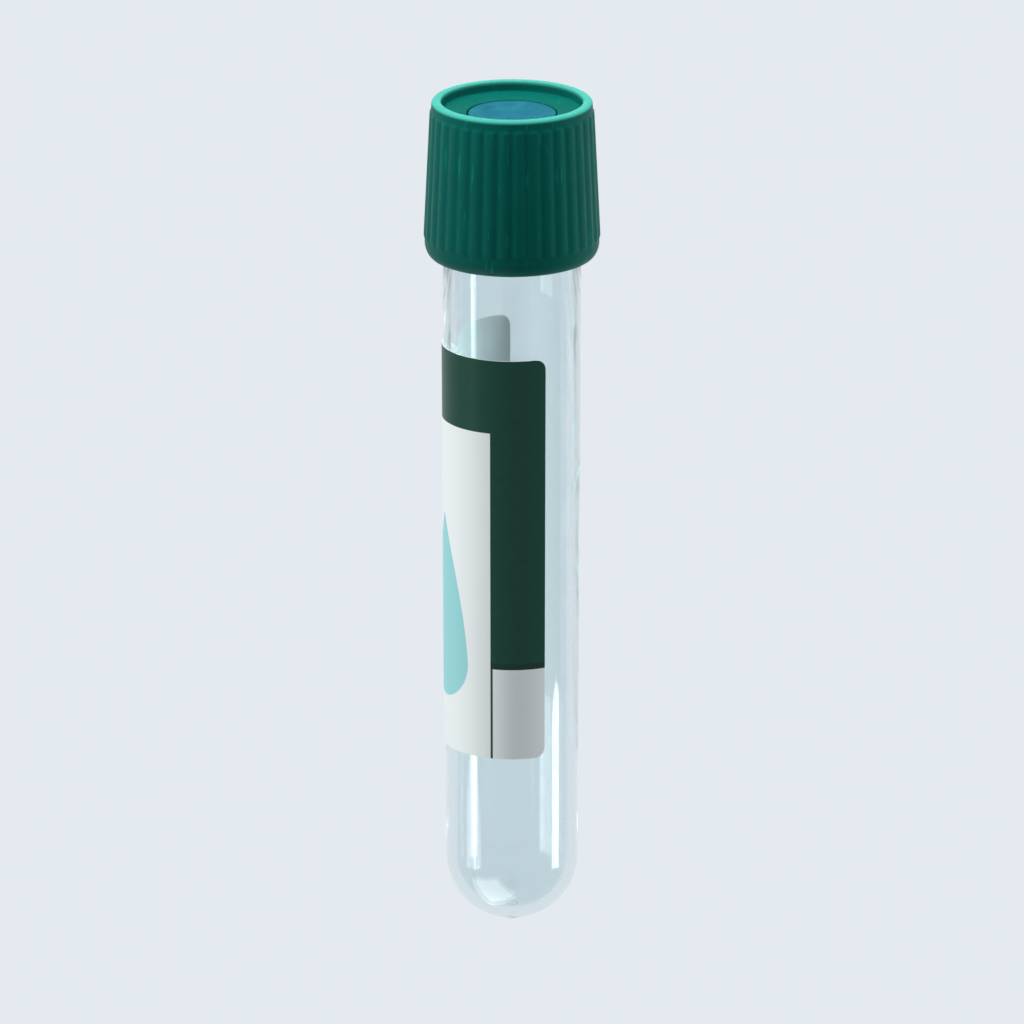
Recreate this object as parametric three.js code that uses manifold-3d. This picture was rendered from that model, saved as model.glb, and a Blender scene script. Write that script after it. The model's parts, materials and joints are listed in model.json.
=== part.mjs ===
// A plastic blood collection tube: a clear round-bottomed tube, the rubber stopper in its
// mouth, the ribbed cap over both, and the paper label wrapped round the barrel.
// It stands on its head, on the rim of its cap, because the real one rolls when it lies down.
// Millimetres. The pieces are modelled upright, +Z from the round end to the cap, with the
// label's front towards -Y, and the whole tube is then turned over.
import * as THREE from 'three';
import { mergeVertices } from 'three/addons/utils/BufferGeometryUtils.js';
import Module from 'manifold-3d';

const wasm = await Module();
wasm.setup();

// ---- Driving dimensions -------------------------------------------------------------

const ROUND_FACETS = 48; // facets round every plain revolve
const ARC_STEPS = 4; // facets along each rounded edge of a profile

const tube = {
  length: 75, // from the pole of the round end to the mouth
  mouthRadius: 6.5,
  footRadius: 6.2, // where the barrel's draft meets the round end
  wall: 1.0,
  lipRound: 0.3,
  domeSteps: 7,
  gateRadius: 0.7, // the trimmed gate mark at the pole
  gateHeight: 0.2,
};

const stopper = {
  headRadius: 6.6,
  headHeight: 3.1,
  headEdge: 0.25, // the chamfer round the head's top
  seatRadius: 6.0, // outer edge of the flat that sits on the tube's lip
  seatChamfer: 0.85, // height of the slope from the seat out to the head
  plugLength: 9.0,
  plugLead: 1.1, // the tapered end that finds the bore
  plugLeadDepth: 0.75,
  ribCount: 3,
  ribHeight: 0.28,
  cavityRadius: 3.4,
  cavityDepth: 5.6,
  cavityDome: 1.6,
  bossHeight: 0.65, // the raised middle of the head, which fills the cap's needle hole
  bossEdge: 0.15,
  dimpleRadius: 3.0,
  dimpleDepth: 0.4,
};

const cap = {
  height: 15,
  topRadius: 7.5, // the skin between the ribs, at the rim
  lowRadius: 8.15, // the skin between the ribs, above the bottom round
  rimOuterRound: 0.35,
  rimInnerRound: 0.2,
  wellRadius: 6.6,
  wellDepth: 1.0,
  wellDraft: 0.15,
  ledgeThickness: 0.8, // of the ring that holds the stopper's head down
  ledgeDish: 0.15, // how far the ring falls towards the needle hole
  holeRadius: 4.2,
  holeChamfer: 0.2,
  bottomRound: 1.5, // height of the curve that turns the skirt in to the tube
  lipWidth: 0.25, // the flat edge at the skirt's mouth
  leadIn: 0.15,
  ribCount: 36,
  ribHeight: 0.14,
  ribRunOut: 0.5, // length over which a rib sinks into the skin at each end
  ribTopMargin: 0.8,
  ribLowMargin: 0.2,
  beadHeight: 0.4, // the snap ring under the stopper's head
};

const label = {
  width: 23, // along the wrap
  height: 39,
  thickness: 0.12,
  cornerRadius: 1.0,
  belowCap: 8.4, // from the cap's lower edge down to the label's top
  rightEdge: 28.5, // degrees round the barrel from its front to the label's right edge
  columns: 44,
};

const clearance = {
  seat: 0.05, // the stopper's head over the tube's lip
  plug: 0.04, // the plug's ribs in the bore
  head: 0.05, // the stopper's head in the cap
  boss: 0.1, // the stopper's boss in the needle hole
  bead: 0.06, // the snap ring under the stopper's head
  skirt: 0.3, // the cap's skirt round the tube
  label: 0.04, // the label on the barrel
};

// ---- Sizes that follow from them ----------------------------------------------------

const seatZ = tube.length + clearance.seat;
const headTop = seatZ + stopper.headHeight;
const ledgeUnder = headTop + clearance.head;
const ledgeTop = ledgeUnder + cap.ledgeThickness;
const capTop = ledgeTop + cap.wellDepth;
const capBottom = capTop - cap.height;
const skirtBore = tube.mouthRadius + clearance.skirt;
const skirtLip = skirtBore + cap.leadIn + cap.lipWidth;
const ribLowEnd = capBottom + cap.bottomRound + cap.ribLowMargin;
const ribTopEnd = capTop - cap.ribTopMargin;

/** The barrel's outer radius at a height: the mould's draft makes it narrower downwards. */
function barrelRadius(z) {
  return THREE.MathUtils.mapLinear(z, tube.footRadius, tube.length, tube.footRadius, tube.mouthRadius);
}

/** The bore's radius at a height. */
function boreRadius(z) {
  return barrelRadius(z) - tube.wall;
}

/** The cap's skin between its ribs, at a height. */
function skinRadius(z) {
  const low = capBottom + cap.bottomRound;
  return THREE.MathUtils.mapLinear(z, low, capTop - cap.rimOuterRound, cap.lowRadius, cap.topRadius);
}

// ---- Profiles and solids ------------------------------------------------------------

/** Points [radius, height] on a quarter of an ellipse, both ends included. */
function quarter(centre, size, from, to, steps = ARC_STEPS) {
  return Array.from({ length: steps + 1 }, (_, i) => {
    const angle = THREE.MathUtils.degToRad(THREE.MathUtils.lerp(from, to, i / steps));
    return [centre[0] + size[0] * Math.cos(angle), centre[1] + size[1] * Math.sin(angle)];
  });
}

/** A revolve round +Z of a profile that starts and ends on the axis, with a facet at +Y. */
function revolve(profile, facets = ROUND_FACETS, start = Math.PI / facets) {
  const points = profile.map(([radius, height]) => new THREE.Vector2(Math.max(radius, 0), height));
  return new THREE.LatheGeometry(points, facets, start, 2 * Math.PI).rotateX(Math.PI / 2);
}

/** A closed geometry as a solid that can be cut. */
function solidOf(geometry) {
  const bare = geometry.clone();
  bare.deleteAttribute('normal');
  bare.deleteAttribute('uv');
  const merged = mergeVertices(bare, 1e-5);
  const corners = Array.from(merged.index.array);
  const triVerts = [];
  for (let i = 0; i < corners.length; i += 3) {
    const [a, b, c] = corners.slice(i, i + 3);
    if (a !== b && b !== c && c !== a) triVerts.push(a, b, c);
  }
  const vertProperties = new Float32Array(merged.getAttribute('position').array);
  return new wasm.Manifold(new wasm.Mesh({ numProp: 3, vertProperties, triVerts: new Uint32Array(triVerts) }));
}

/** A solid as a geometry again. */
function geometryOf(solid) {
  const mesh = solid.getMesh();
  const geometry = new THREE.BufferGeometry();
  geometry.setAttribute('position', new THREE.BufferAttribute(mesh.vertProperties, 3));
  geometry.setIndex(new THREE.BufferAttribute(mesh.triVerts, 1));
  geometry.computeVertexNormals();
  return geometry;
}

// ---- The tube -----------------------------------------------------------------------

/** The clear tube: drafted barrel, round end with its gate mark, and a rounded lip. */
function tubeGeometry() {
  const pole = [0, tube.footRadius];
  const ball = [tube.footRadius, tube.footRadius];
  const hollow = [tube.footRadius - tube.wall, tube.footRadius - tube.wall];
  const gateTop = tube.footRadius - Math.sqrt(tube.footRadius ** 2 - tube.gateRadius ** 2);
  const gateAngle = THREE.MathUtils.radToDeg(Math.asin(tube.gateRadius / tube.footRadius));
  const lip = [tube.lipRound, tube.lipRound];
  const lipZ = tube.length - tube.lipRound;
  const outerLip = quarter([tube.mouthRadius - tube.lipRound, lipZ], lip, 0, 90);
  const innerLip = quarter([boreRadius(tube.length) + tube.lipRound, lipZ], lip, 90, 180);
  return revolve([
    [0, -tube.gateHeight],
    [tube.gateRadius, -tube.gateHeight],
    [tube.gateRadius, gateTop],
    ...quarter(pole, ball, gateAngle - 90, 0, tube.domeSteps).slice(1),
    ...outerLip,
    ...innerLip,
    ...quarter(pole, hollow, 0, -90, tube.domeSteps),
  ]);
}

// ---- The stopper --------------------------------------------------------------------

/** The plug's side from the head down: sealing ribs that follow the bore's draft. */
function plugSide(plugBottom) {
  const top = seatZ;
  const pitch = (top - plugBottom - stopper.plugLead) / stopper.ribCount;
  const root = (z) => boreRadius(z) - clearance.plug - stopper.ribHeight;
  const side = [[root(top), top]];
  for (let i = 0; i < stopper.ribCount; i += 1) {
    const middle = top - pitch * (i + 0.5);
    for (const [step, rise] of [[0.36, 0], [0.2, 0.8], [0, 1], [-0.2, 0.8], [-0.36, 0]]) {
      const z = middle + step * pitch;
      side.push([root(z) + rise * stopper.ribHeight, z]);
    }
  }
  const leadTop = plugBottom + stopper.plugLead;
  side.push([root(leadTop), leadTop]);
  return side;
}

/** The rubber stopper: dimpled head, ribbed plug, and a cavity below the needle's way. */
function stopperGeometry() {
  const plugBottom = seatZ - stopper.plugLength;
  const domeZ = plugBottom + stopper.cavityDepth - stopper.cavityDome;
  const leadRadius = boreRadius(plugBottom) - stopper.ribHeight - stopper.plugLeadDepth;
  const bossRadius = cap.holeRadius - clearance.boss;
  const bossTop = headTop + stopper.bossHeight;
  const upwards = [
    ...quarter([0, domeZ], [stopper.cavityRadius, stopper.cavityDome], 90, 0),
    [stopper.cavityRadius, plugBottom],
    [leadRadius, plugBottom],
    ...plugSide(plugBottom).reverse(),
    [stopper.seatRadius, seatZ],
    [stopper.headRadius, seatZ + stopper.seatChamfer],
    [stopper.headRadius, headTop - stopper.headEdge],
    [stopper.headRadius - stopper.headEdge, headTop],
    [bossRadius, headTop],
    [bossRadius, bossTop - stopper.bossEdge],
    [bossRadius - stopper.bossEdge, bossTop],
    ...quarter([0, bossTop], [stopper.dimpleRadius, stopper.dimpleDepth], 0, -90),
  ];
  return revolve(upwards);
}

// ---- The cap ------------------------------------------------------------------------

/** How far the ribs stand out at a height, as a share of their full height. */
function ribShare(z) {
  const rise = THREE.MathUtils.smoothstep(z, ribLowEnd, ribLowEnd + cap.ribRunOut);
  const fall = THREE.MathUtils.smoothstep(z, ribTopEnd - cap.ribRunOut, ribTopEnd);
  return rise * (1 - fall);
}

/** The cap's outside, solid: a flared body whose skin swells into rounded ribs. */
function ribbedBody() {
  const roundSize = [cap.lowRadius - skirtLip, cap.bottomRound];
  const rim = [cap.rimOuterRound, cap.rimOuterRound];
  const rimZ = capTop - cap.rimOuterRound;
  const skin = (z) => [skinRadius(z), z];
  const body = revolve([
    [0, capBottom],
    ...quarter([skirtLip, capBottom + cap.bottomRound], roundSize, -90, 0),
    skin(ribLowEnd),
    skin(ribLowEnd + cap.ribRunOut),
    skin(ribTopEnd - cap.ribRunOut),
    skin(ribTopEnd),
    ...quarter([cap.topRadius - cap.rimOuterRound, rimZ], rim, 0, 90, 3),
    [0, capTop],
  ], cap.ribCount * 4, 0);
  const spots = body.getAttribute('position');
  for (let i = 0; i < spots.count; i += 1) {
    const [x, y, z] = [spots.getX(i), spots.getY(i), spots.getZ(i)];
    const radius = Math.hypot(x, y);
    const turn = Math.atan2(x, -y) * cap.ribCount / 2;
    const swell = cap.ribHeight * ribShare(z) * Math.abs(Math.sin(turn));
    const scale = radius > cap.wellRadius ? 1 + swell / radius : 1;
    spots.setXY(i, x * scale, y * scale);
  }
  return body;
}

/** What is taken out from below: the skirt's bore, the snap ring and the head's chamber. */
function chamber() {
  const past = 1;
  const chamberRadius = stopper.headRadius + clearance.head;
  const slope = (stopper.headRadius - stopper.seatRadius) / stopper.seatChamfer;
  const beadRadius = stopper.seatRadius + cap.beadHeight * slope + clearance.bead;
  return revolve([
    [0, capBottom - past],
    [skirtBore + cap.leadIn + past, capBottom - past],
    [skirtBore, capBottom + cap.leadIn],
    [skirtBore, seatZ],
    [beadRadius, seatZ + cap.beadHeight],
    [chamberRadius, seatZ + stopper.seatChamfer],
    [chamberRadius, ledgeUnder],
    [0, ledgeUnder],
  ]);
}

/** What is taken out from above: the well, its dished ring and the needle hole. */
function well() {
  const past = 1;
  const floorRadius = cap.wellRadius - cap.wellDraft;
  const holeTop = ledgeTop - cap.ledgeDish;
  return revolve([
    [0, ledgeUnder - past],
    [cap.holeRadius, ledgeUnder - past],
    [cap.holeRadius, holeTop - cap.holeChamfer],
    [cap.holeRadius + cap.holeChamfer, holeTop],
    [floorRadius, ledgeTop],
    [cap.wellRadius, capTop - cap.rimInnerRound],
    [cap.wellRadius + cap.rimInnerRound + past, capTop + past],
    [0, capTop + past],
  ]);
}

/** The green cap: ribbed sleeve, dished top with its needle hole, skirt round the mouth. */
function capGeometry() {
  return geometryOf(solidOf(ribbedBody()).subtract(solidOf(chamber())).subtract(solidOf(well())));
}

// ---- The label ----------------------------------------------------------------------

/** How much a rounded corner takes off the sheet's height, at a distance from its end. */
function cornerDrop(fromEnd) {
  const inside = Math.max(label.cornerRadius - fromEnd, 0);
  return label.cornerRadius - Math.sqrt(label.cornerRadius ** 2 - inside ** 2);
}

/** The label: a flat sheet with rounded corners, bent round the barrel. */
function labelGeometry() {
  const top = capBottom - label.belowCap;
  const sheet = new THREE.BoxGeometry(1, 1, 1, label.columns, 1, 1);
  const spots = sheet.getAttribute('position');
  const turnPerMm = 1 / (barrelRadius(top - label.height / 2) + clearance.label);
  for (let i = 0; i < spots.count; i += 1) {
    // Columns lie closer together towards the ends, where the corners are round.
    const along = label.width * (1 - Math.cos(Math.PI * (spots.getX(i) + 0.5))) / 2;
    const drop = cornerDrop(Math.min(along, label.width - along));
    const z = top - label.height / 2 + Math.sign(spots.getY(i)) * (label.height / 2 - drop);
    const out = barrelRadius(z) + clearance.label + (spots.getZ(i) + 0.5) * label.thickness;
    const turn = THREE.MathUtils.degToRad(label.rightEdge) - (label.width - along) * turnPerMm;
    spots.setXYZ(i, out * Math.sin(turn), -out * Math.cos(turn), z);
  }
  return sheet;
}

// ---- Assembly -----------------------------------------------------------------------

function piece(name, geometry, look) {
  const mesh = new THREE.Mesh(geometry, new THREE.MeshStandardMaterial(look));
  mesh.name = name;
  return mesh;
}

/** Turns the upright tube over to stand on its cap's rim, at z = 0 over the origin. */
function standOnHead(upright) {
  const standing = new THREE.Group();
  standing.add(upright);
  upright.rotation.y = Math.PI;
  standing.updateMatrixWorld(true);
  const box = new THREE.Box3().setFromObject(standing, true);
  const centre = box.getCenter(new THREE.Vector3());
  upright.position.set(-centre.x, -centre.y, -box.min.z);
  return standing;
}

const upright = new THREE.Group();
upright.add(
  piece('tube', tubeGeometry(), {
    color: 0xdfeeee, roughness: 0.06, metalness: 0, transparent: true, opacity: 0.35,
  }),
  piece('stopper', stopperGeometry(), { color: 0x5c6f78, roughness: 0.65, metalness: 0 }),
  piece('cap', capGeometry(), { color: 0x0b8a72, roughness: 0.35, metalness: 0 }),
  piece('label', labelGeometry(), { color: 0xf2f4f1, roughness: 0.55, metalness: 0 }),
);

export default standOnHead(upright);
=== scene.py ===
"""The finished look of a plastic blood collection tube.

The tube stands on its head, on its cap's rim, because the real one rolls when it lies
down. Every piece is modelled upright, with the barrel's axis on Z and the label's front
towards -Y, and is then turned over onto the axis that the frame gives. Sizes are in
millimetres and meshes in metres.
"""

import json
import logging
import math
from collections.abc import Iterable, Sequence
from dataclasses import dataclass, field
from enum import Enum
from itertools import pairwise

import bpy
from mathutils import Matrix, Vector


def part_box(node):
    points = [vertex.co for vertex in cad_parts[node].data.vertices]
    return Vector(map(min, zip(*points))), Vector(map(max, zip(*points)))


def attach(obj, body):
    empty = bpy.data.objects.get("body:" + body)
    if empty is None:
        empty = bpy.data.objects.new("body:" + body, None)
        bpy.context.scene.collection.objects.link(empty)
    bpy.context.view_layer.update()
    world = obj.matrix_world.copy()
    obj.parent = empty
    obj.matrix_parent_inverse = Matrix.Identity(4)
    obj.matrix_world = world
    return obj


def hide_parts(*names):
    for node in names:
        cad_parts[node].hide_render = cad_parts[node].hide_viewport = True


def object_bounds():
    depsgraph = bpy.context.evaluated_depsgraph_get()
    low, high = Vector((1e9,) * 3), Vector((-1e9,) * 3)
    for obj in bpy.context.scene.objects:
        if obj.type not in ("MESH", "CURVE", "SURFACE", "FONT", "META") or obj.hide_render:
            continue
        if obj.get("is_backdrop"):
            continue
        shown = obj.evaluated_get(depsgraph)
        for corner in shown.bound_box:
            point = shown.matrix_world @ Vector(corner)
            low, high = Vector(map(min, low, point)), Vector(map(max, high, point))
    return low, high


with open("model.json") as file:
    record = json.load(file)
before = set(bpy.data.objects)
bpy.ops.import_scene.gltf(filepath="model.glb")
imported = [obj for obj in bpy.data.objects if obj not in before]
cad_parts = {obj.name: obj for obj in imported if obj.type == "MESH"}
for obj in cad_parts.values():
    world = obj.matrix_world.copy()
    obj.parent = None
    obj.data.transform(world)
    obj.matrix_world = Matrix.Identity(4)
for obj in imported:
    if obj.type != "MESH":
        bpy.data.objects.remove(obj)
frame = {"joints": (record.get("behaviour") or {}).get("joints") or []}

log = logging.getLogger("blood_collection_tube")

# Where the +X side of the upright tube, and of the camera, lies once it is turned over.
ACROSS = Vector((-1, 0, 0))

# Edges sharper than these angles, in degrees, stay hard when a piece is smoothed.
TURNED_EDGE = 32
SHEET_EDGE = 40

# Points of a turned profile closer than this, in millimetres, become one.
WELD = 0.002


class Body(Enum):
    """The bodies of the frame that pieces move with."""

    ROOT = "root"
    BARREL = "barrel"


class Slot(Enum):
    """The record's material slots."""

    CLEAR_PLASTIC = "clear_plastic"
    RUBBER = "butyl_rubber"
    GREEN_PLASTIC = "green_plastic"
    PAPER = "label_paper"


def mm(length: float) -> float:
    """Gives a length in millimetres as metres."""
    return length / 1000


def linear(colour: str) -> tuple[float, float, float, float]:
    """Turns an sRGB hex colour into the linear values that a shader takes.

    Args:
        colour: Six hex digits after a hash sign.

    Returns:
        Linear red, green and blue, and a full alpha.
    """
    shares = [int(colour[i : i + 2], 16) / 255 for i in (1, 3, 5)]
    lit = [s / 12.92 if s <= 0.04045 else ((s + 0.055) / 1.055) ** 2.4 for s in shares]
    return (lit[0], lit[1], lit[2], 1.0)


# ---- Sizes shared by the pieces ------------------------------------------------------


@dataclass(frozen=True)
class BarrelSizes:
    """The tube's sizes, and the radii that other pieces take from them."""

    length: float = 75.0
    mouth_radius: float = 6.5
    foot_radius: float = 6.2
    wall: float = 1.0
    lip_round: float = 0.3
    gate_radius: float = 0.7
    gate_height: float = 0.2
    gate_edge: float = 0.08

    def outer(self, height: float) -> float:
        """Gives the drafted barrel's outer radius at a height above the round end."""
        share = (height - self.foot_radius) / (self.length - self.foot_radius)
        return self.foot_radius + share * (self.mouth_radius - self.foot_radius)

    def bore(self, height: float) -> float:
        """Gives the bore's radius at a height above the round end."""
        return self.outer(height) - self.wall


@dataclass(frozen=True)
class StopperSizes:
    """The rubber stopper's sizes."""

    head_radius: float = 6.6
    head_height: float = 3.1
    head_edge: float = 0.25
    seat_radius: float = 6.0
    seat_chamfer: float = 0.85
    seat_clearance: float = 0.05
    plug_length: float = 9.0
    plug_lead: float = 1.1
    plug_lead_depth: float = 0.75
    plug_clearance: float = 0.04
    plug_edge: float = 0.15
    rib_count: int = 3
    rib_height: float = 0.28
    rib_reach: float = 0.36
    rib_fullness: float = 0.8
    cavity_radius: float = 3.4
    cavity_depth: float = 5.6
    cavity_dome: float = 1.6
    boss_radius: float = 4.1
    boss_height: float = 0.65
    boss_edge: float = 0.15
    boss_root: float = 0.1
    dimple_radius: float = 3.0
    dimple_depth: float = 0.4
    dimple_start: float = -8.0


@dataclass(frozen=True)
class CapSizes:
    """The ribbed cap's sizes."""

    height: float = 15.0
    top_radius: float = 7.5
    low_radius: float = 8.15
    rim_outer_round: float = 0.35
    rim_inner_round: float = 0.2
    well_radius: float = 6.6
    well_depth: float = 1.0
    well_draft: float = 0.15
    well_root_round: float = 0.2
    ledge_thickness: float = 0.8
    ledge_dish: float = 0.15
    hole_radius: float = 4.2
    hole_chamfer: float = 0.2
    bottom_round: float = 1.5
    lip_width: float = 0.25
    lead_in: float = 0.15
    rib_count: int = 36
    rib_height: float = 0.14
    rib_run_out: float = 0.5
    rib_top_margin: float = 0.8
    rib_low_margin: float = 0.2
    bead_height: float = 0.4
    head_clearance: float = 0.05
    bead_clearance: float = 0.06
    skirt_clearance: float = 0.3


@dataclass(frozen=True)
class LabelSizes:
    """The label's sizes, and those of the fields printed on it."""

    width: float = 23.0
    height: float = 39.0
    thickness: float = 0.12
    corner_radius: float = 1.0
    below_cap: float = 8.4
    right_edge: float = 28.5
    clearance: float = 0.04
    column: float = 0.35
    band: float = 7.1
    strip: float = 5.2
    strip_end: float = 30.2
    strip_foot: float = 0.6
    divider: float = 0.22
    drop_radius: float = 3.9
    drop_top: float = 16.0
    drop_bottom: float = 34.0


@dataclass(frozen=True)
class Heights:
    """Where the pieces meet, as heights above the pole of the round end."""

    barrel: BarrelSizes
    stopper: StopperSizes
    cap: CapSizes

    @property
    def seat(self) -> float:
        """The underside of the stopper's head."""
        return self.barrel.length + self.stopper.seat_clearance

    @property
    def head_top(self) -> float:
        """The top of the stopper's head."""
        return self.seat + self.stopper.head_height

    @property
    def boss_top(self) -> float:
        """The top of the boss that fills the needle hole."""
        return self.head_top + self.stopper.boss_height

    @property
    def ledge_under(self) -> float:
        """The underside of the cap's inner ring."""
        return self.head_top + self.cap.head_clearance

    @property
    def ledge_top(self) -> float:
        """The top of the cap's inner ring, at the well's wall."""
        return self.ledge_under + self.cap.ledge_thickness

    @property
    def cap_top(self) -> float:
        """The cap's rim."""
        return self.ledge_top + self.cap.well_depth

    @property
    def cap_bottom(self) -> float:
        """The cap's lower edge."""
        return self.cap_top - self.cap.height


# ---- Modelling helpers ---------------------------------------------------------------


@dataclass(frozen=True)
class Station:
    """A point of a turned profile, by its radius and its height in millimetres."""

    radius: float
    height: float


def deselect_all() -> None:
    """Leaves nothing selected, so that an operator acts on one piece."""
    if bpy.context.mode != "OBJECT":
        bpy.ops.object.mode_set(mode="OBJECT")
    bpy.ops.object.select_all(action="DESELECT")


def pick(piece: bpy.types.Object) -> None:
    """Makes one piece the selected and active one."""
    deselect_all()
    piece.select_set(True)
    bpy.context.view_layer.objects.active = piece


def arc(
    centre: Station, size: Station, start: float, end: float, steps: int
) -> list[Station]:
    """Draws part of an ellipse in a profile.

    Args:
        centre: The ellipse's centre.
        size: Its half widths along the radius and the height.
        start: The first point's angle, in degrees from straight outwards.
        end: The last point's angle.
        steps: How many straight steps the arc takes.

    Returns:
        The arc's points, both ends included.
    """
    stations = []
    for i in range(steps + 1):
        angle = math.radians(start + (end - start) * i / steps)
        out = centre.radius + size.radius * math.cos(angle)
        up = centre.height + size.height * math.sin(angle)
        stations.append(Station(max(out, 0.0), up))
    return stations


def turned(name: str, profile: Sequence[Station], steps: int) -> bpy.types.Object:
    """Models a round piece by drawing its profile and spinning it round the axis.

    Args:
        name: The piece's name.
        profile: Points that start and end on the axis, or that close on themselves.
        steps: How many facets go round.

    Returns:
        The closed piece, smooth but for its real edges.
    """
    deselect_all()
    bpy.ops.mesh.primitive_plane_add(size=mm(1))
    piece = bpy.context.active_object
    piece.name = name
    bpy.ops.object.mode_set(mode="EDIT")
    bpy.ops.mesh.merge(type="CENTER")
    first = profile[0]
    bpy.ops.transform.translate(value=(mm(first.radius), 0, mm(first.height)))
    for here, there in pairwise(profile):
        move = (mm(there.radius - here.radius), 0, mm(there.height - here.height))
        bpy.ops.mesh.extrude_vertices_move(TRANSFORM_OT_translate={"value": move})
    bpy.ops.mesh.select_all(action="SELECT")
    bpy.ops.mesh.spin(steps=steps, angle=2 * math.pi, center=(0, 0, 0), axis=(0, 0, 1))
    bpy.ops.mesh.select_all(action="SELECT")
    bpy.ops.mesh.remove_doubles(threshold=mm(WELD))
    bpy.ops.mesh.normals_make_consistent(inside=False)
    bpy.ops.object.mode_set(mode="OBJECT")
    bpy.ops.object.shade_smooth_by_angle(angle=math.radians(TURNED_EDGE))
    return piece


def apply_modifier(
    piece: bpy.types.Object, kind: str, settings: dict[str, object]
) -> None:
    """Adds a modifier to a piece and applies it.

    Args:
        piece: The piece to change.
        kind: The modifier's type.
        settings: Its properties by name.
    """
    pick(piece)
    modifier = piece.modifiers.new(kind.title(), kind)
    for key, value in settings.items():
        setattr(modifier, key, value)
    bpy.ops.object.modifier_apply(modifier=modifier.name)


@dataclass(frozen=True)
class RestPose:
    """How the upright tube stands on its head in the frame, along the slide."""

    pole: Vector
    axis: Vector

    @classmethod
    def from_frame(cls, heights: Heights) -> "RestPose":
        """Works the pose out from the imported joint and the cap's rim.

        Args:
            heights: Where the pieces meet along the axis.

        Returns:
            The pose of the round end's pole and of the barrel's axis.
        """
        axis = -Vector(frame["joints"][0]["axis"]).normalized()
        low, high = (Vector(corner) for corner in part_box("cap"))
        rim = Vector(((low.x + high.x) / 2, (low.y + high.y) / 2, low.z))
        return cls(rim - axis * mm(heights.cap_top), axis)

    @property
    def matrix(self) -> Matrix:
        """The turn and move that stand an upright piece on its head."""
        inward = self.axis.cross(ACROSS)
        turn = Matrix((ACROSS, inward, self.axis)).transposed().to_4x4()
        return Matrix.Translation(self.pole) @ turn

    def stand(self, piece: bpy.types.Object) -> None:
        """Stands an upright piece on its head and leaves its object at the origin."""
        pick(piece)
        piece.matrix_world = self.matrix
        bpy.ops.object.transform_apply(location=True, rotation=True, scale=True)


# ---- Finishes ------------------------------------------------------------------------


def add_node(
    tree: bpy.types.NodeTree,
    kind: str,
    inputs: dict[str | int, object] | None = None,
    **settings: object,
) -> bpy.types.Node:
    """Adds a node to a material's or a world's node tree.

    Args:
        tree: The node tree that the node joins.
        kind: The node's type, without its ShaderNode prefix.
        inputs: Values or other nodes' output sockets, by the input socket they go to.
        settings: The node's own properties.

    Returns:
        The new node.
    """
    node = tree.nodes.new(f"ShaderNode{kind}")
    for name, setting in settings.items():
        setattr(node, name, setting)
    for socket, value in (inputs or {}).items():
        if isinstance(value, bpy.types.NodeSocket):
            tree.links.new(value, node.inputs[socket])
        else:
            node.inputs[socket].default_value = value
    return node


def new_material(name: str) -> bpy.types.Material:
    """Makes an empty node material."""
    material = bpy.data.materials.new(name)
    material.use_nodes = True
    material.node_tree.nodes.clear()
    return material


def object_place(tree: bpy.types.NodeTree) -> bpy.types.NodeSocket:
    """Gives the shaded point's place on its own piece."""
    return add_node(tree, "TexCoord").outputs["Object"]


def stretched(
    tree: bpy.types.NodeTree, place: bpy.types.NodeSocket, stretch: float
) -> bpy.types.NodeSocket:
    """Draws a pattern's place out along the tube's axis, by a factor."""
    inputs = {"Vector": place, "Scale": (1, 1, 1 / stretch)}
    return add_node(tree, "Mapping", inputs).outputs[0]


def noise(
    tree: bpy.types.NodeTree, place: bpy.types.NodeSocket, size: float, detail: float
) -> bpy.types.NodeSocket:
    """Makes a cloudy pattern.

    Args:
        tree: The node tree.
        place: Where the shaded point lies in the pattern.
        size: The width of its clouds, in millimetres.
        detail: How many finer layers it has.

    Returns:
        The pattern's value, from 0 to 1.
    """
    inputs = {"Vector": place, "Scale": 1 / mm(size), "Detail": detail}
    return add_node(tree, "TexNoise", inputs).outputs["Fac"]


def bump(
    tree: bpy.types.NodeTree, height: bpy.types.NodeSocket, depth: float
) -> bpy.types.NodeSocket:
    """Turns a pattern into a relief of a depth in millimetres, as a shader's normal."""
    inputs = {"Height": height, "Distance": mm(depth)}
    return add_node(tree, "Bump", inputs).outputs["Normal"]


def remap(
    tree: bpy.types.NodeTree,
    value: bpy.types.NodeSocket,
    span: tuple[float, float],
    result: tuple[float, float],
    **settings: object,
) -> bpy.types.NodeSocket:
    """Carries a value from one span to another, and holds it at the ends.

    Args:
        tree: The node tree.
        value: The value to carry over.
        span: The values that go to the result's two ends.
        result: What they become.
        settings: The node's own properties, such as how it eases.

    Returns:
        The new value.
    """
    inputs = {
        "Value": value,
        "From Min": span[0],
        "From Max": span[1],
        "To Min": result[0],
        "To Max": result[1],
    }
    return add_node(tree, "MapRange", inputs, **settings).outputs["Result"]


def blend(
    tree: bpy.types.NodeTree, share: object, under: object, over: object
) -> bpy.types.NodeSocket:
    """Mixes two colours by the share of the second."""
    inputs = {0: share, 6: under, 7: over}
    return add_node(tree, "Mix", inputs, data_type="RGBA").outputs[2]


def work_out(
    tree: bpy.types.NodeTree, operation: str, *values: object
) -> bpy.types.NodeSocket:
    """Does a sum in a Math node, on numbers or other nodes' values."""
    inputs = dict(enumerate(values))
    return add_node(tree, "Math", inputs, operation=operation).outputs[0]


def seen_rays(tree: bpy.types.NodeTree) -> bpy.types.NodeSocket:
    """Gives 1 for a ray of the picture: straight, through the wall or mirrored."""
    path = add_node(tree, "LightPath").outputs
    direct, through = path["Is Camera Ray"], path["Is Transmission Ray"]
    straight = work_out(tree, "ADD", direct, through)
    return work_out(tree, "ADD", straight, path["Is Glossy Ray"])


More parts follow.
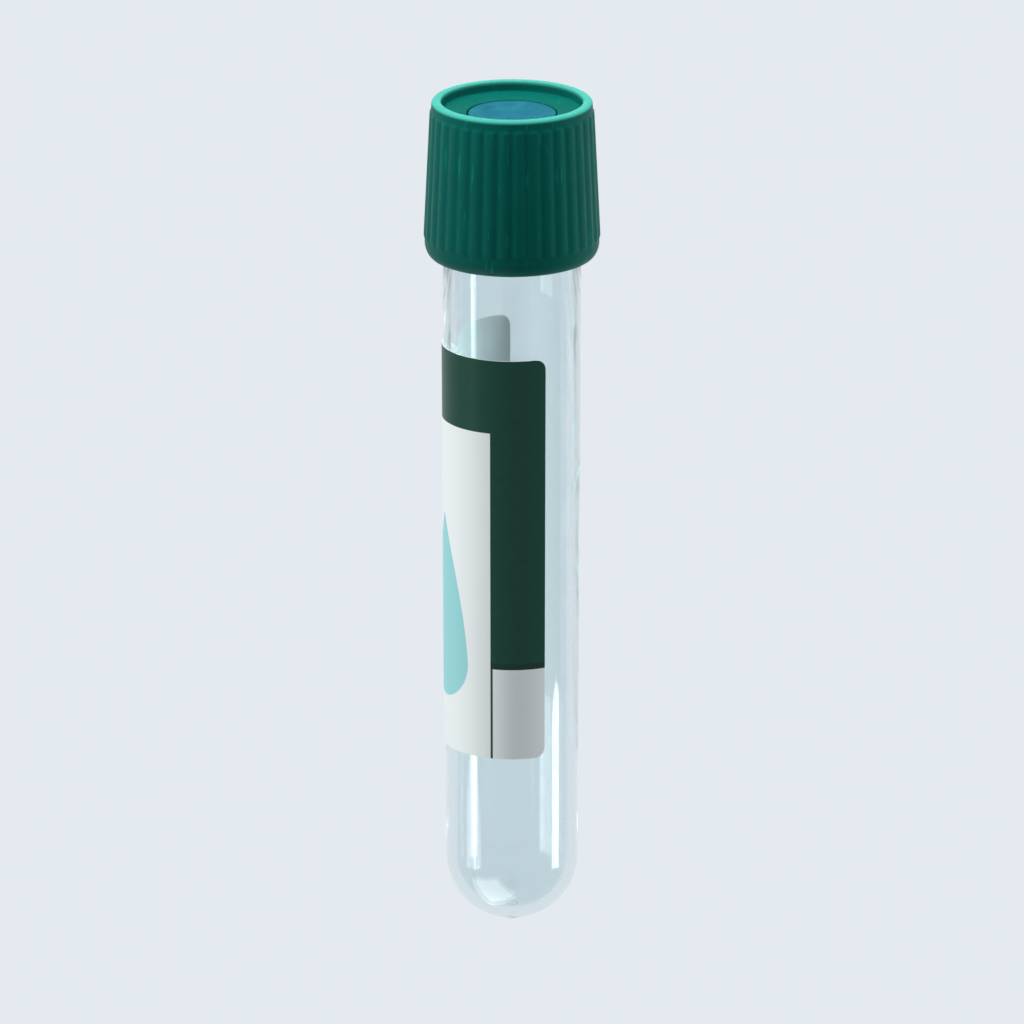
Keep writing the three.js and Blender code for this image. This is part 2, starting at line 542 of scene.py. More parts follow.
def surface(
    material: bpy.types.Material, inputs: dict[str | int, object]
) -> bpy.types.Material:
    """Ends a material in a Principled shader with the given inputs."""
    tree = material.node_tree
    shader = add_node(tree, "BsdfPrincipled", inputs)
    add_node(tree, "OutputMaterial", {"Surface": shader.outputs["BSDF"]})
    return material


@dataclass(frozen=True)
class ClearPolyester:
    """Clear polyester (PET), injection moulded in a polished mould.

    The eye sees a hard gloss, refracted edges, a faint cool tint in the wall's
    thickness, and slight waves drawn out along the barrel by the flow of the melt.
    The lamps' light goes through the wall, so that what is inside is lit as in air.
    """

    tint: str = "#E8F1F3"
    shade: str = "#F4F8F8"
    ior: float = 1.575
    wave_width: float = 3.0
    wave_stretch: float = 12.0
    wave_depth: float = 0.0035
    smudge_size: float = 5.0
    smudge_span: tuple[float, float] = (0.45, 0.8)
    polish: float = 0.015
    smudge: float = 0.06

    def material(self) -> bpy.types.Material:
        """Builds the material, with its flow waves along the barrel."""
        made = new_material("clear_polyester")
        tree = made.node_tree
        place = object_place(tree)
        upright = stretched(tree, place, self.wave_stretch)
        waves = noise(tree, upright, self.wave_width, 1.0)
        relief = bump(tree, waves, self.wave_depth)
        smudges = noise(tree, place, self.smudge_size, 4.0)
        ends = (self.polish, self.smudge)
        wall = add_node(
            tree,
            "BsdfPrincipled",
            {
                "Base Color": linear(self.tint),
                "Roughness": remap(tree, smudges, self.smudge_span, ends),
                "IOR": self.ior,
                "Transmission Weight": 1.0,
                "Normal": relief,
            },
        )
        clear = add_node(tree, "BsdfTransparent", {"Color": linear(self.shade)})
        lamplight = add_node(tree, "LightPath").outputs["Is Shadow Ray"]
        share = {0: lamplight, 1: wall.outputs[0], 2: clear.outputs[0]}
        mixed = add_node(tree, "MixShader", share)
        add_node(tree, "OutputMaterial", {"Surface": mixed.outputs[0]})
        return made


@dataclass(frozen=True)
class ButylRubber:
    """Blue-grey butyl rubber, compression moulded and lightly coated with silicone oil.

    The eye sees a dull, even grey with a soft sheen, a fine grain and paler bloom.
    """

    colour: str = "#0D5464"
    bloom: str = "#196272"
    ior: float = 1.52
    grain: float = 0.12
    grain_depth: float = 0.012
    bloom_size: float = 1.6
    bloom_span: tuple[float, float] = (0.42, 0.78)
    roughness: float = 0.58

    def material(self) -> bpy.types.Material:
        """Builds the material, with its bloom and its grain."""
        made = new_material("butyl_rubber")
        tree = made.node_tree
        place = object_place(tree)
        clouds = noise(tree, place, self.bloom_size, 5.0)
        share = remap(tree, clouds, self.bloom_span, (0.0, 1.0))
        colour = blend(tree, share, linear(self.colour), linear(self.bloom))
        grain = noise(tree, place, self.grain, 2.0)
        return surface(
            made,
            {
                "Base Color": colour,
                "Roughness": self.roughness,
                "IOR": self.ior,
                "Normal": bump(tree, grain, self.grain_depth),
            },
        )


@dataclass(frozen=True)
class MouldedPolyethylene:
    """Green polyethylene, injection moulded in a lightly spark-eroded mould.

    The eye sees a deep green with a waxy half gloss, a little light in the thin edges,
    a fine texture that breaks up the highlights, and paler rubbed marks on the ribs.
    The rim that the tube stands on is painted palest: a painted highlight on its crest.
    """

    colour: str = "#034D45"
    pale: str = "#05564D"
    rubbed: str = "#0C8376"
    # Painted highlight: the pale colour painted on the rim's crest.
    rim_highlight: str = "#4DB3A4"
    gloss: str = "#9FE3DA"
    ior: float = 1.51
    cloud_size: float = 4.0
    texture: float = 0.16
    texture_depth: float = 0.008
    rub_width: float = 0.5
    rub_stretch: float = 7.0
    rub_span: tuple[float, float] = (0.62, 0.74)
    rub_most: float = 0.4
    # The heights from the rim, in millimetres, where the painted rim highlight is full and
    # where it ends, and its largest share.
    rim_highlight_full: float = 0.1
    rim_highlight_end: float = 0.42
    rim_highlight_most: float = 0.55
    dull_span: tuple[float, float] = (0.35, 0.7)
    satin: float = 0.42
    dull: float = 0.56
    specular: float = 0.1
    glow: float = 0.12
    glow_colour: tuple[float, float, float] = (0.3, 1.0, 0.8)
    glow_reach: float = 0.6

    def wear_and_rim_highlight(
        self,
        tree: bpy.types.NodeTree,
        place: bpy.types.NodeSocket,
        rubs: bpy.types.NodeSocket,
        base: bpy.types.NodeSocket,
    ) -> bpy.types.NodeSocket:
        """Lays the rubbed marks, and a painted highlight on the rim's crest, over the
        moulded colour.

        Args:
            tree: The node tree.
            place: The shaded point's place on the cap.
            rubs: The pattern of the rubbed marks.
            base: The moulded colour.

        Returns:
            The colour with its rubbed marks and its painted rim highlight.
        """
        worn = remap(tree, rubs, self.rub_span, (0.0, self.rub_most))
        colour = blend(tree, worn, base, linear(self.rubbed))
        # Painted highlight: the cap is painted pale nearest the rim by height, on its
        # crest.
        height = add_node(tree, "SeparateXYZ", {0: place}).outputs["Z"]
        rim_highlight_share = remap(
            tree,
            height,
            (mm(self.rim_highlight_full), mm(self.rim_highlight_end)),
            (self.rim_highlight_most, 0.0),
            interpolation_type="SMOOTHSTEP",
        )
        return blend(tree, rim_highlight_share, colour, linear(self.rim_highlight))

    def material(self) -> bpy.types.Material:
        """Builds the material, with rubbed marks that run along the ribs."""
        made = new_material("moulded_polyethylene")
        tree = made.node_tree
        place = object_place(tree)
        clouds = noise(tree, place, self.cloud_size, 3.0)
        base = blend(tree, clouds, linear(self.colour), linear(self.pale))
        along = stretched(tree, place, self.rub_stretch)
        rubs = noise(tree, along, self.rub_width, 3.0)
        colour = self.wear_and_rim_highlight(tree, place, rubs, base)
        rough = remap(tree, rubs, self.dull_span, (self.satin, self.dull))
        grain = noise(tree, place, self.texture, 2.0)
        return surface(
            made,
            {
                "Base Color": colour,
                "Roughness": rough,
                "IOR": self.ior,
                "Specular IOR Level": self.specular,
                "Specular Tint": linear(self.gloss),
                "Subsurface Weight": self.glow,
                "Subsurface Radius": self.glow_colour,
                "Subsurface Scale": mm(self.glow_reach),
                "Normal": bump(tree, grain, self.texture_depth),
            },
        )


@dataclass(frozen=True)
class PrintedPaper:
    """Coated label paper with flat fields of green ink.

    The eye sees a smooth white sheet with a slight gloss, inks that lie a little
    uneven, and crisp straight edges between them.
    """

    paper: str = "#E3EAEA"
    ink: str = "#04352A"
    foot: str = "#032C25"
    divider: str = "#24423F"
    drop: str = "#92CDD0"
    drop_belly: float = 0.75
    mottle: str = "#063F32"
    mottle_size: float = 0.8
    fibre: float = 0.25
    fibre_depth: float = 0.006
    paper_roughness: float = 0.5
    ink_roughness: float = 0.36
    specular: float = 0.22
    ior: float = 1.5

    def within(
        self,
        tree: bpy.types.NodeTree,
        value: bpy.types.NodeSocket,
        low: float,
        high: float,
    ) -> bpy.types.NodeSocket:
        """Gives 1 where a value lies between two limits, and 0 elsewhere."""
        above = work_out(tree, "GREATER_THAN", value, low)
        below = work_out(tree, "LESS_THAN", value, high)
        return work_out(tree, "MULTIPLY", above, below)

    def drop_field(
        self,
        tree: bpy.types.NodeTree,
        aside: bpy.types.NodeSocket,
        down: bpy.types.NodeSocket,
        sizes: LabelSizes,
    ) -> bpy.types.NodeSocket:
        """Draws a plain drop: a round foot under sides that draw in to a point.

        Args:
            tree: The node tree.
            aside: The distance from the label's middle line, in millimetres.
            down: The distance below the label's top, in millimetres.
            sizes: The label's sizes.

        Returns:
            1 inside the drop, and 0 outside.
        """
        centre = sizes.drop_bottom - sizes.drop_radius
        height = remap(tree, down, (centre, sizes.drop_top), (0.0, 1.0))
        left = work_out(tree, "SUBTRACT", 1.0, height)
        full = work_out(tree, "MULTIPLY_ADD", height, self.drop_belly, 1.0)
        side = work_out(tree, "MULTIPLY", left, full)
        width = work_out(tree, "MULTIPLY", side, sizes.drop_radius)
        slim = work_out(tree, "LESS_THAN", aside, width)
        span = self.within(tree, down, sizes.drop_top, centre)
        cone = work_out(tree, "MULTIPLY", slim, span)
        below = work_out(tree, "SUBTRACT", down, centre)
        point = add_node(tree, "CombineXYZ", {"X": aside, "Y": below}).outputs[0]
        length = add_node(tree, "VectorMath", {0: point}, operation="LENGTH")
        bowl = work_out(tree, "LESS_THAN", length.outputs["Value"], sizes.drop_radius)
        return work_out(tree, "MAXIMUM", cone, bowl)

    def material(self, sizes: LabelSizes) -> bpy.types.Material:
        """Builds the material, with its fields placed in millimetres on the sheet.

        Args:
            sizes: The label's sizes, which the fields are measured from.

        Returns:
            The printed face's material.
        """
        made = new_material("printed_paper")
        tree = made.node_tree
        sheet = add_node(tree, "TexCoord").outputs["UV"]
        spot = add_node(tree, "SeparateXYZ", {0: sheet}).outputs
        offset = work_out(tree, "SUBTRACT", spot["X"], 0.5)
        distance = work_out(tree, "ABSOLUTE", offset)
        aside = work_out(tree, "MULTIPLY", distance, sizes.width)
        depth = work_out(tree, "SUBTRACT", 1.0, spot["Y"])
        down = work_out(tree, "MULTIPLY", depth, sizes.height)
        inner = sizes.width / 2 - sizes.strip
        outside = -1.0

        band = self.within(tree, down, outside, sizes.band)
        side = self.within(tree, aside, inner, sizes.width)
        long = self.within(tree, down, outside, sizes.strip_end)
        strip = work_out(tree, "MULTIPLY", side, long)
        inked = work_out(tree, "MAXIMUM", band, strip)
        foot_top = sizes.strip_end - sizes.strip_foot
        last = self.within(tree, down, foot_top, sizes.strip_end)
        foot = work_out(tree, "MULTIPLY", side, last)
        line = self.within(tree, aside, inner, inner + sizes.divider)
        under = self.within(tree, down, sizes.strip_end, sizes.height + 1)
        rule = work_out(tree, "MULTIPLY", line, under)
        drop = self.drop_field(tree, aside, down, sizes)

        place = object_place(tree)
        patches = noise(tree, place, self.mottle_size, 3.0)
        ink = blend(tree, patches, linear(self.ink), linear(self.mottle))
        colour: object = linear(self.paper)
        layers = [
            (drop, linear(self.drop)),
            (inked, ink),
            (foot, linear(self.foot)),
            (rule, linear(self.divider)),
        ]
        for share, layer in layers:
            colour = blend(tree, share, colour, layer)
        ends = (self.paper_roughness, self.ink_roughness)
        rough = remap(tree, inked, (0.0, 1.0), ends)
        fibres = noise(tree, place, self.fibre, 3.0)
        return surface(
            made,
            {
                "Base Color": colour,
                "Roughness": rough,
                "IOR": self.ior,
                "Specular IOR Level": self.specular,
                "Normal": bump(tree, fibres, self.fibre_depth),
            },
        )


@dataclass(frozen=True)
class GummedPaper:
    """The label's back and cut edges: uncoated white paper under clear adhesive."""

    colour: str = "#CED4D3"
    shade: str = "#C2C9C7"
    blotch: float = 2.0
    roughness: float = 0.55
    ior: float = 1.48

    def material(self) -> bpy.types.Material:
        """Builds the material, with the adhesive's faint blotches."""
        made = new_material("gummed_paper")
        tree = made.node_tree
        blotches = noise(tree, object_place(tree), self.blotch, 4.0)
        colour = blend(tree, blotches, linear(self.colour), linear(self.shade))
        finish = {"Roughness": self.roughness, "IOR": self.ior}
        return surface(made, {"Base Color": colour, **finish})


# ---- The pieces ----------------------------------------------------------------------


def dress(
    piece: bpy.types.Object,
    node: str,
    body: Body,
    finish: bpy.types.Material,
) -> bpy.types.Object:
    """Gives a finished piece its material and its place in the frame.

    Args:
        piece: The piece, already standing.
        node: The CAD node that it stands for.
        body: The body that it moves with.
        finish: The material.

    Returns:
        The same piece.
    """
    if not piece.data.materials:
        piece.data.materials.append(finish)
    else:
        piece.data.materials[0] = finish
    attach(piece, body.value)
    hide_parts(node)
    log.info("%s: %d faces", piece.name, len(piece.data.polygons))
    return piece


@dataclass
class Barrel:
    """The clear tube: drafted barrel, round end with its gate mark, rounded lip."""

    sizes: BarrelSizes
    steps: int = 160
    dome_steps: int = 24
    lip_steps: int = 6

    def profile(self) -> list[Station]:
        """Draws the wall, from the gate mark up the outside and down the bore."""
        s = self.sizes
        pole = Station(0, s.foot_radius)
        inside = s.foot_radius - s.wall
        gate_turn = math.degrees(math.asin(s.gate_radius / s.foot_radius))
        gate_root = s.foot_radius - math.sqrt(s.foot_radius**2 - s.gate_radius**2)
        lip = Station(s.lip_round, s.lip_round)
        lip_height = s.length - s.lip_round
        outer_lip = Station(s.mouth_radius - s.lip_round, lip_height)
        inner_lip = Station(s.bore(s.length) + s.lip_round, lip_height)
        ball = Station(s.foot_radius, s.foot_radius)
        return [
            Station(0, -s.gate_height),
            Station(s.gate_radius - s.gate_edge, -s.gate_height),
            Station(s.gate_radius, s.gate_edge - s.gate_height),
            Station(s.gate_radius, gate_root),
            *arc(pole, ball, gate_turn - 90, 0, self.dome_steps)[1:],
            *arc(outer_lip, lip, 0, 90, self.lip_steps),
            *arc(inner_lip, lip, 90, 180, self.lip_steps),
            *arc(pole, Station(inside, inside), 0, -90, self.dome_steps),
        ]

    def build(self, pose: RestPose) -> bpy.types.Object:
        """Models the tube and stands it on its head."""
        piece = turned("clear_tube", self.profile(), self.steps)
        pose.stand(piece)
        finish = ClearPolyester().material()
        return dress(piece, "tube", Body.BARREL, finish)


@dataclass
class Stopper:
    """The rubber stopper: dimpled head, ribbed plug, and a cavity below."""

    sizes: StopperSizes
    barrel: BarrelSizes
    heights: Heights
    steps: int = 128
    rib_steps: int = 8
    dome_steps: int = 10
    edge_steps: int = 5

    def groove(self, height: float) -> float:
        """Gives the plug's radius between its ribs, which follows the bore's draft."""
        s = self.sizes
        return self.barrel.bore(height) - s.plug_clearance - s.rib_height

    def plug_side(self, plug_bottom: float) -> list[Station]:
        """Draws the plug's side from its lead up to the head."""
        s = self.sizes
        lead_top = plug_bottom + s.plug_lead
        pitch = (self.heights.seat - lead_top) / s.rib_count
        reach = s.rib_reach * pitch
        side = [Station(self.groove(lead_top), lead_top)]
        for rib in range(s.rib_count):
            middle = lead_top + pitch * (rib + 0.5)
            for i in range(self.rib_steps + 1):
                share = 2 * i / self.rib_steps - 1
                height = middle + share * reach
                rise = math.cos(share * math.pi / 2) ** s.rib_fullness
                radius = self.groove(height) + s.rib_height * rise
                side.append(Station(radius, height))
        side.append(Station(self.groove(self.heights.seat), self.heights.seat))
        return side

    def profile(self) -> list[Station]:
        """Draws the stopper, from the cavity's roof round the plug to the dimple."""
        s = self.sizes
        top = self.heights.head_top
        seat = self.heights.seat
        plug_bottom = seat - s.plug_length
        roof = plug_bottom + s.cavity_depth - s.cavity_dome
        lead = self.barrel.bore(plug_bottom) - s.rib_height - s.plug_lead_depth
        edge = Station(s.head_edge, s.head_edge)
        head = Station(s.head_radius - s.head_edge, top - s.head_edge)
        boss_top = self.heights.boss_top
        boss = Station(s.boss_radius - s.boss_edge, boss_top - s.boss_edge)
        boss_edge = Station(s.boss_edge, s.boss_edge)
        dimple = Station(s.dimple_radius, s.dimple_depth)
        dome = Station(s.cavity_radius, s.cavity_dome)
        return [
            *arc(Station(0, roof), dome, 90, 0, self.dome_steps),
            Station(s.cavity_radius, plug_bottom + s.plug_edge),
            Station(s.cavity_radius + s.plug_edge, plug_bottom),
            Station(lead - s.plug_edge, plug_bottom),
            Station(lead, plug_bottom + s.plug_edge),
            *self.plug_side(plug_bottom),
            Station(s.seat_radius, seat),
            Station(s.head_radius, seat + s.seat_chamfer),
            *arc(head, edge, 0, 90, self.edge_steps),
            Station(s.boss_radius + s.boss_root, top),
            Station(s.boss_radius, top + s.boss_root),
            *arc(boss, boss_edge, 0, 90, self.edge_steps),
            Station(s.dimple_radius + s.boss_root, boss_top),
            *arc(Station(0, boss_top), dimple, s.dimple_start, -90, self.dome_steps),
        ]

    def build(self, pose: RestPose) -> bpy.types.Object:
        """Models the stopper and stands it on its head."""
        piece = turned("rubber_stopper", self.profile(), self.steps)
        pose.stand(piece)
        finish = ButylRubber().material()
        return dress(piece, "stopper", Body.ROOT, finish)


@dataclass
class Cap:
    """The ribbed cap: flared sleeve, dished top with its needle hole, and a skirt."""

    sizes: CapSizes
    barrel: BarrelSizes
    stopper: StopperSizes
    heights: Heights
    steps_per_rib: int = 8
    run_out_steps: int = 5
    bottom_steps: int = 10
    rim_steps: int = 6
    well_steps: int = 4
    rib_low: float = field(init=False)
    rib_top: float = field(init=False)

    def __post_init__(self) -> None:
        """Works out where the ribs start and end."""
        s = self.sizes
        self.rib_low = self.heights.cap_bottom + s.bottom_round + s.rib_low_margin
        self.rib_top = self.heights.cap_top - s.rib_top_margin

    def skin(self, height: float) -> Station:
        """Gives the flared skin between the ribs, at a height."""
        s = self.sizes
        low = self.heights.cap_bottom + s.bottom_round
        top = self.heights.cap_top - s.rim_outer_round
        share = (height - low) / (top - low)
        return Station(s.low_radius + share * (s.top_radius - s.low_radius), height)

    def rib_share(self, height: float) -> float:
        """Gives how far the ribs stand out at a height, as a share of their height."""
        run = self.sizes.rib_run_out
        inside = min(height - self.rib_low, self.rib_top - height) / run
        share = min(max(inside, 0.0), 1.0)
        return share * share * (3 - 2 * share)

    def outside(self) -> list[Station]:
        """Draws the skirt's edge, the flared skin and the rim's outer edge."""
        s = self.sizes
        bottom, top = self.heights.cap_bottom, self.heights.cap_top
        bore = self.barrel.mouth_radius + s.skirt_clearance
        lip = bore + s.lead_in + s.lip_width
        turn_in = Station(s.low_radius - lip, s.bottom_round)
        count = self.run_out_steps
        run = [s.rib_run_out * i / count for i in range(count + 1)]
        low_run = [self.skin(self.rib_low + step) for step in run]
        top_run = [self.skin(self.rib_top - step) for step in reversed(run)]
        rim = Station(s.top_radius - s.rim_outer_round, top - s.rim_outer_round)
        rim_size = Station(s.rim_outer_round, s.rim_outer_round)
        foot = Station(lip, bottom + s.bottom_round)
        return [
            *arc(foot, turn_in, -90, 0, self.bottom_steps),
            *low_run,
            *top_run,
            *arc(rim, rim_size, 0, 90, self.rim_steps),
        ]

    def inside(self) -> list[Station]:
        """Draws the well, the ring round the needle hole, the chamber and the bore."""
        s = self.sizes
        bottom, top = self.heights.cap_bottom, self.heights.cap_top
        hole_top = self.heights.ledge_top - s.ledge_dish
        under = self.heights.ledge_under
        floor = s.well_radius - s.well_draft
        chamber = self.stopper.head_radius + s.head_clearance
        lean = self.stopper.head_radius - self.stopper.seat_radius
        slope = lean / self.stopper.seat_chamfer
        bead = self.stopper.seat_radius + s.bead_height * slope + s.bead_clearance
        bore = self.barrel.mouth_radius + s.skirt_clearance
        rim_size = Station(s.rim_inner_round, s.rim_inner_round)
        rim = Station(s.well_radius + s.rim_inner_round, top - s.rim_inner_round)
        root_size = Station(s.well_root_round, s.well_root_round)
        root_height = self.heights.ledge_top + s.well_root_round
        root = Station(floor - s.well_root_round, root_height)
        edge = Station(s.hole_radius + s.hole_chamfer, hole_top - s.hole_chamfer)
        edge_size = Station(s.hole_chamfer, s.hole_chamfer)
        seat = self.heights.seat
        return [
            *arc(rim, rim_size, 90, 180, self.well_steps),
            *arc(root, root_size, 0, -90, self.well_steps),
            *arc(edge, edge_size, 90, 180, self.well_steps),
            Station(s.hole_radius, under),
            Station(chamber, under),
            Station(chamber, seat + self.stopper.seat_chamfer),
            Station(bead, seat + s.bead_height),
            Station(bore, seat),
            Station(bore, bottom + s.lead_in),
            Station(bore + s.lead_in, bottom),
        ]

    def raise_ribs(self, piece: bpy.types.Object) -> None:
        """Swells the skin into rounded ribs that sink back at both ends."""
        s = self.sizes
        ribs = piece.vertex_groups.new(name="ribs")
        for vertex in piece.data.vertices:
            x, y, z = vertex.co * 1000
            if math.hypot(x, y) < s.top_radius - s.rim_outer_round:
                continue
            turn = math.atan2(x, -y) * s.rib_count / 2
            share = self.rib_share(z) * abs(math.sin(turn))
            if share > 0:
                ribs.add([vertex.index], share, "REPLACE")
        swell = {"strength": mm(s.rib_height), "mid_level": 0.0}
        apply_modifier(piece, "DISPLACE", {**swell, "vertex_group": "ribs"})

    def build(self, pose: RestPose) -> bpy.types.Object:
        """Models the cap and stands it on its head."""
        steps = self.sizes.rib_count * self.steps_per_rib
        outside = self.outside()
        piece = turned("ribbed_cap", [*outside, *self.inside(), outside[0]], steps)
        self.raise_ribs(piece)
        bpy.ops.object.shade_smooth_by_angle(angle=math.radians(SHEET_EDGE))
        pose.stand(piece)
        finish = MouldedPolyethylene().material()
        return dress(piece, "cap", Body.ROOT, finish)


@dataclass
class Label:
    """The paper label: a sheet with rounded corners, wrapped round the barrel."""

    sizes: LabelSizes
    barrel: BarrelSizes
    heights: Heights
    corner_steps: int = 8
    cut_tolerance: float = 1e-4

    def flat_sheet(self) -> bpy.types.Object:
        """Cuts the sheet flat and standing, ruled into columns that let it bend."""
        s = self.sizes
        deselect_all()
        bpy.ops.mesh.primitive_plane_add(size=1)
        piece = bpy.context.active_object
        piece.name = "wrapped_label"
        bpy.ops.object.mode_set(mode="EDIT")
        bpy.ops.transform.resize(value=(mm(s.width), mm(s.height), 1))
        bpy.ops.mesh.bevel(
            affect="VERTICES", offset=mm(s.corner_radius), segments=self.corner_steps
        )
        self.rule()
        bpy.ops.object.mode_set(mode="OBJECT")
        self.print_map(piece)
        piece.rotation_euler = (math.pi / 2, 0, 0)
        bpy.ops.object.transform_apply(location=False, rotation=True, scale=False)
        return piece

    def rule(self) -> None:
        """Splits the sheet in edit mode into even columns."""
        s = self.sizes
        count = round(s.width / s.column)
        for i in range(1, count):
            place = mm(s.width * (i / count - 0.5))
            bpy.ops.mesh.select_all(action="SELECT")
            bpy.ops.mesh.bisect(
                plane_co=(place, 0, 0),
                plane_no=(1, 0, 0),
                threshold=mm(self.cut_tolerance),
            )

    def print_map(self, piece: bpy.types.Object) -> None:
        """Maps the print onto the flat sheet, corner to corner."""
        s = self.sizes
        layer = piece.data.uv_layers.active or piece.data.uv_layers.new(name="print")
        for loop in piece.data.loops:
            x, y, _ = piece.data.vertices[loop.vertex_index].co * 1000
            layer.data[loop.index].uv = (x / s.width + 0.5, y / s.height + 0.5)

    def wrap(self, piece: bpy.types.Object) -> None:
        """Bends the standing sheet round the barrel's taper and makes it thick."""
        s = self.sizes
        middle = self.heights.cap_bottom - s.below_cap - s.height / 2
        radius = self.barrel.outer(middle) + s.clearance
        turn = s.width / radius
        bend = {"deform_method": "BEND", "deform_axis": "Z", "angle": turn}
        apply_modifier(piece, "SIMPLE_DEFORM", bend)
        piece.location = (0, -mm(radius), 0)
        bpy.ops.object.transform_apply(location=True, rotation=False, scale=False)
        top = self.barrel.outer(middle + s.height / 2)
        lean = (top - self.barrel.outer(middle - s.height / 2)) / radius
        taper = {"deform_method": "TAPER", "deform_axis": "Z", "factor": lean}
        apply_modifier(piece, "SIMPLE_DEFORM", taper)
        piece.location = (0, 0, mm(middle))
        piece.rotation_euler = (0, 0, math.radians(s.right_edge) - turn / 2)
        bpy.ops.object.transform_apply(location=True, rotation=True, scale=False)
        gauge = {"thickness": mm(s.thickness), "offset": 1.0, "material_offset_rim": 1}
        apply_modifier(piece, "SOLIDIFY", {**gauge, "material_offset": 1})

    def build(self, pose: RestPose) -> bpy.types.Object:
        """Models the label, wraps it and stands it on its head."""
        piece = self.flat_sheet()
        piece.data.materials.append(PrintedPaper().material(self.sizes))
        piece.data.materials.append(GummedPaper().material())
        self.wrap(piece)
        pick(piece)
        bpy.ops.object.shade_smooth_by_angle(angle=math.radians(SHEET_EDGE))
        pose.stand(piece)
        return dress(piece, "label", Body.BARREL, piece.data.materials[0])


# ---- The studio ----------------------------------------------------------------------


@dataclass(frozen=True)
class Lamp:
    """A soft area lamp, with its place and size in metres and its power in watts.

    A lamp that isn't mirrored lights the tube but doesn't show in its gloss.
    """

    name: str
    place: tuple[float, float, float]
    size: tuple[float, float]
    power: float
    mirrored: bool = True


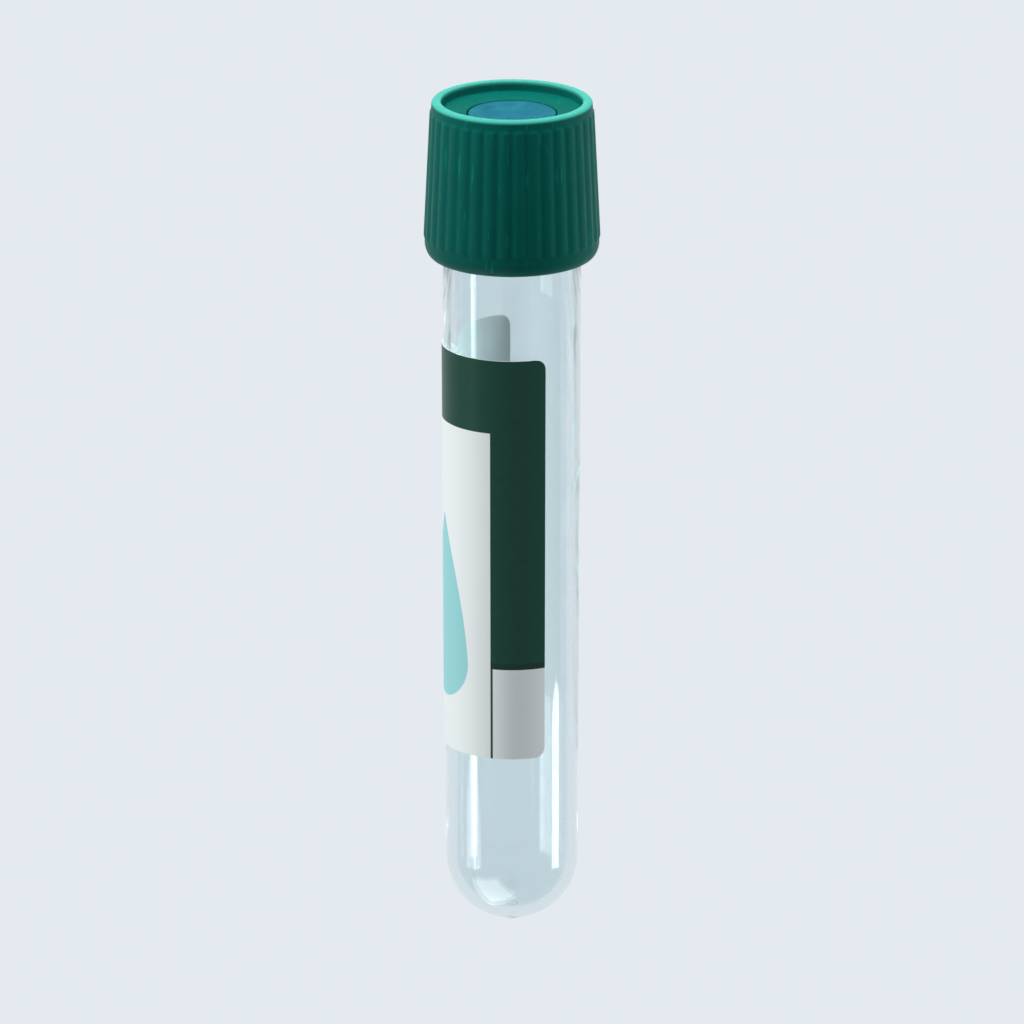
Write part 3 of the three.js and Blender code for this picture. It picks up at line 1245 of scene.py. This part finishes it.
@dataclass
class Studio:
    """A pale floor, soft lamps, and a camera turned over to show the cap at the top.

    The camera looks at the cap's rim from a little beyond it, which is from below here,
    so the floor shows from above only, and it holds back neither the camera nor the
    light. The lamps' sides are those of the picture.
    """

    lamps: Sequence[Lamp] = (
        Lamp("left_softbox", (1.10, -0.19, 0.0), (0.72, 1.08), 5.6, mirrored=False),
        Lamp("right_softbox", (-1.08, 0.05, 0.0), (0.34, 1.08), 8.5, mirrored=False),
        Lamp("head_softbox", (0.08, -0.02, -0.45), (0.30, 0.30), 5.0, mirrored=False),
        Lamp("foot_softbox", (0.20, -0.14, 0.46), (0.40, 0.40), 0.9),
        Lamp("left_strip", (1.02, -0.40, 0.0), (0.10, 1.0), 1.0),
        Lamp("right_strip", (-1.08, 0.05, 0.0), (0.10, 1.0), 1.4),
    )
    elevation: float = -17.5
    distance: float = 1.2
    lens: float = 450.0
    floor_size: float = 3.0
    floor_colour: str = "#DDE3E6"
    floor_roughness: float = 0.75
    floor_glow: float = 0.40
    sky: str = "#E9EEF2"
    sky_strength: float = 0.18
    backdrop: str = "#E4EAEF"
    turns: int = 200

    def build_floor(self) -> None:
        """Lays a pale floor that shows from above, also through the clear tube."""
        deselect_all()
        bpy.ops.mesh.primitive_plane_add(size=self.floor_size, location=(0, 0, 0))
        floor = bpy.context.active_object
        floor.name = "studio_floor"
        made = new_material("pale_floor")
        tree = made.node_tree
        pale = {
            "Base Color": linear(self.floor_colour),
            "Roughness": self.floor_roughness,
            "Emission Color": linear(self.backdrop),
            "Emission Strength": self.floor_glow,
        }
        sheet = add_node(tree, "BsdfPrincipled", pale).outputs["BSDF"]
        clear = add_node(tree, "BsdfTransparent").outputs["BSDF"]
        seen = seen_rays(tree)
        below = add_node(tree, "NewGeometry").outputs["Backfacing"]
        shown = work_out(tree, "SUBTRACT", seen, below)
        mixed = add_node(tree, "MixShader", {0: shown, 1: clear, 2: sheet})
        add_node(tree, "OutputMaterial", {"Surface": mixed.outputs[0]})
        floor.data.materials.append(made)
        floor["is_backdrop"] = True

    def build_world(self) -> None:
        """Lights the scene softly from all round, against a pale background."""
        world = bpy.data.worlds.new("soft_room")
        bpy.context.scene.world = world
        world.use_nodes = True
        tree = world.node_tree
        tree.nodes.clear()
        light = {"Color": linear(self.sky), "Strength": self.sky_strength}
        sky = add_node(tree, "Background", light).outputs[0]
        pale = {"Color": linear(self.backdrop)}
        backdrop = add_node(tree, "Background", pale).outputs[0]
        mixed = add_node(tree, "MixShader", {0: seen_rays(tree), 1: sky, 2: backdrop})
        add_node(tree, "OutputWorld", {"Surface": mixed.outputs[0]})

    def build_lamps(self, target: Vector) -> None:
        """Places each lamp and turns it to the tube."""
        for lamp in self.lamps:
            data = bpy.data.lights.new(lamp.name, "AREA")
            data.shape = "RECTANGLE"
            data.size, data.size_y = lamp.size
            data.energy = lamp.power
            stand = bpy.data.objects.new(lamp.name, data)
            stand.location = lamp.place
            stand.visible_glossy = lamp.mirrored
            aim = target - Vector(lamp.place)
            stand.rotation_euler = aim.to_track_quat("-Z", "Y").to_euler()
            bpy.context.scene.collection.objects.link(stand)

    def build_camera(self, target: Vector) -> None:
        """Looks at the label's front, with the picture turned over like the tube.

        Args:
            target: The point at the middle of the picture.
        """
        rise = math.radians(self.elevation)
        back = Vector((0, -math.cos(rise), math.sin(rise)))
        up = back.cross(ACROSS)
        data = bpy.data.cameras.new("camera")
        data.lens = self.lens
        camera = bpy.data.objects.new("camera", data)
        turn = Matrix((ACROSS, up, back)).transposed().to_4x4()
        camera.matrix_world = Matrix.Translation(target + back * self.distance) @ turn
        bpy.context.scene.collection.objects.link(camera)
        bpy.context.scene.camera = camera

    def follow_light(self) -> None:
        """Lets a ray turn often enough to come out of the clear wall again."""
        cycles = bpy.context.scene.cycles
        cycles.max_bounces = self.turns
        cycles.glossy_bounces = self.turns
        cycles.transmission_bounces = self.turns

    def build(self) -> None:
        """Builds the floor, the world, the lamps and the camera."""
        low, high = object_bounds()
        target = (Vector(low) + Vector(high)) / 2
        self.build_floor()
        self.build_world()
        self.build_lamps(target)
        self.build_camera(target)
        self.follow_light()
        bpy.context.scene.view_settings.view_transform = "Standard"
        log.info("studio: %d lamps", len(self.lamps))


def main() -> None:
    """Builds the tube and its studio."""
    logging.basicConfig(level=logging.INFO, format="%(name)s %(message)s")
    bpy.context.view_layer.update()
    barrel, stopper = BarrelSizes(), StopperSizes()
    cap, label = CapSizes(), LabelSizes()
    heights = Heights(barrel, stopper, cap)
    pose = RestPose.from_frame(heights)
    Studio().build()

    Label(label, barrel, heights).build(pose)
    Barrel(barrel).build(pose)
    Stopper(stopper, barrel, heights).build(pose)
    Cap(cap, barrel, stopper, heights).build(pose)


if __name__ == "__main__":
    main()
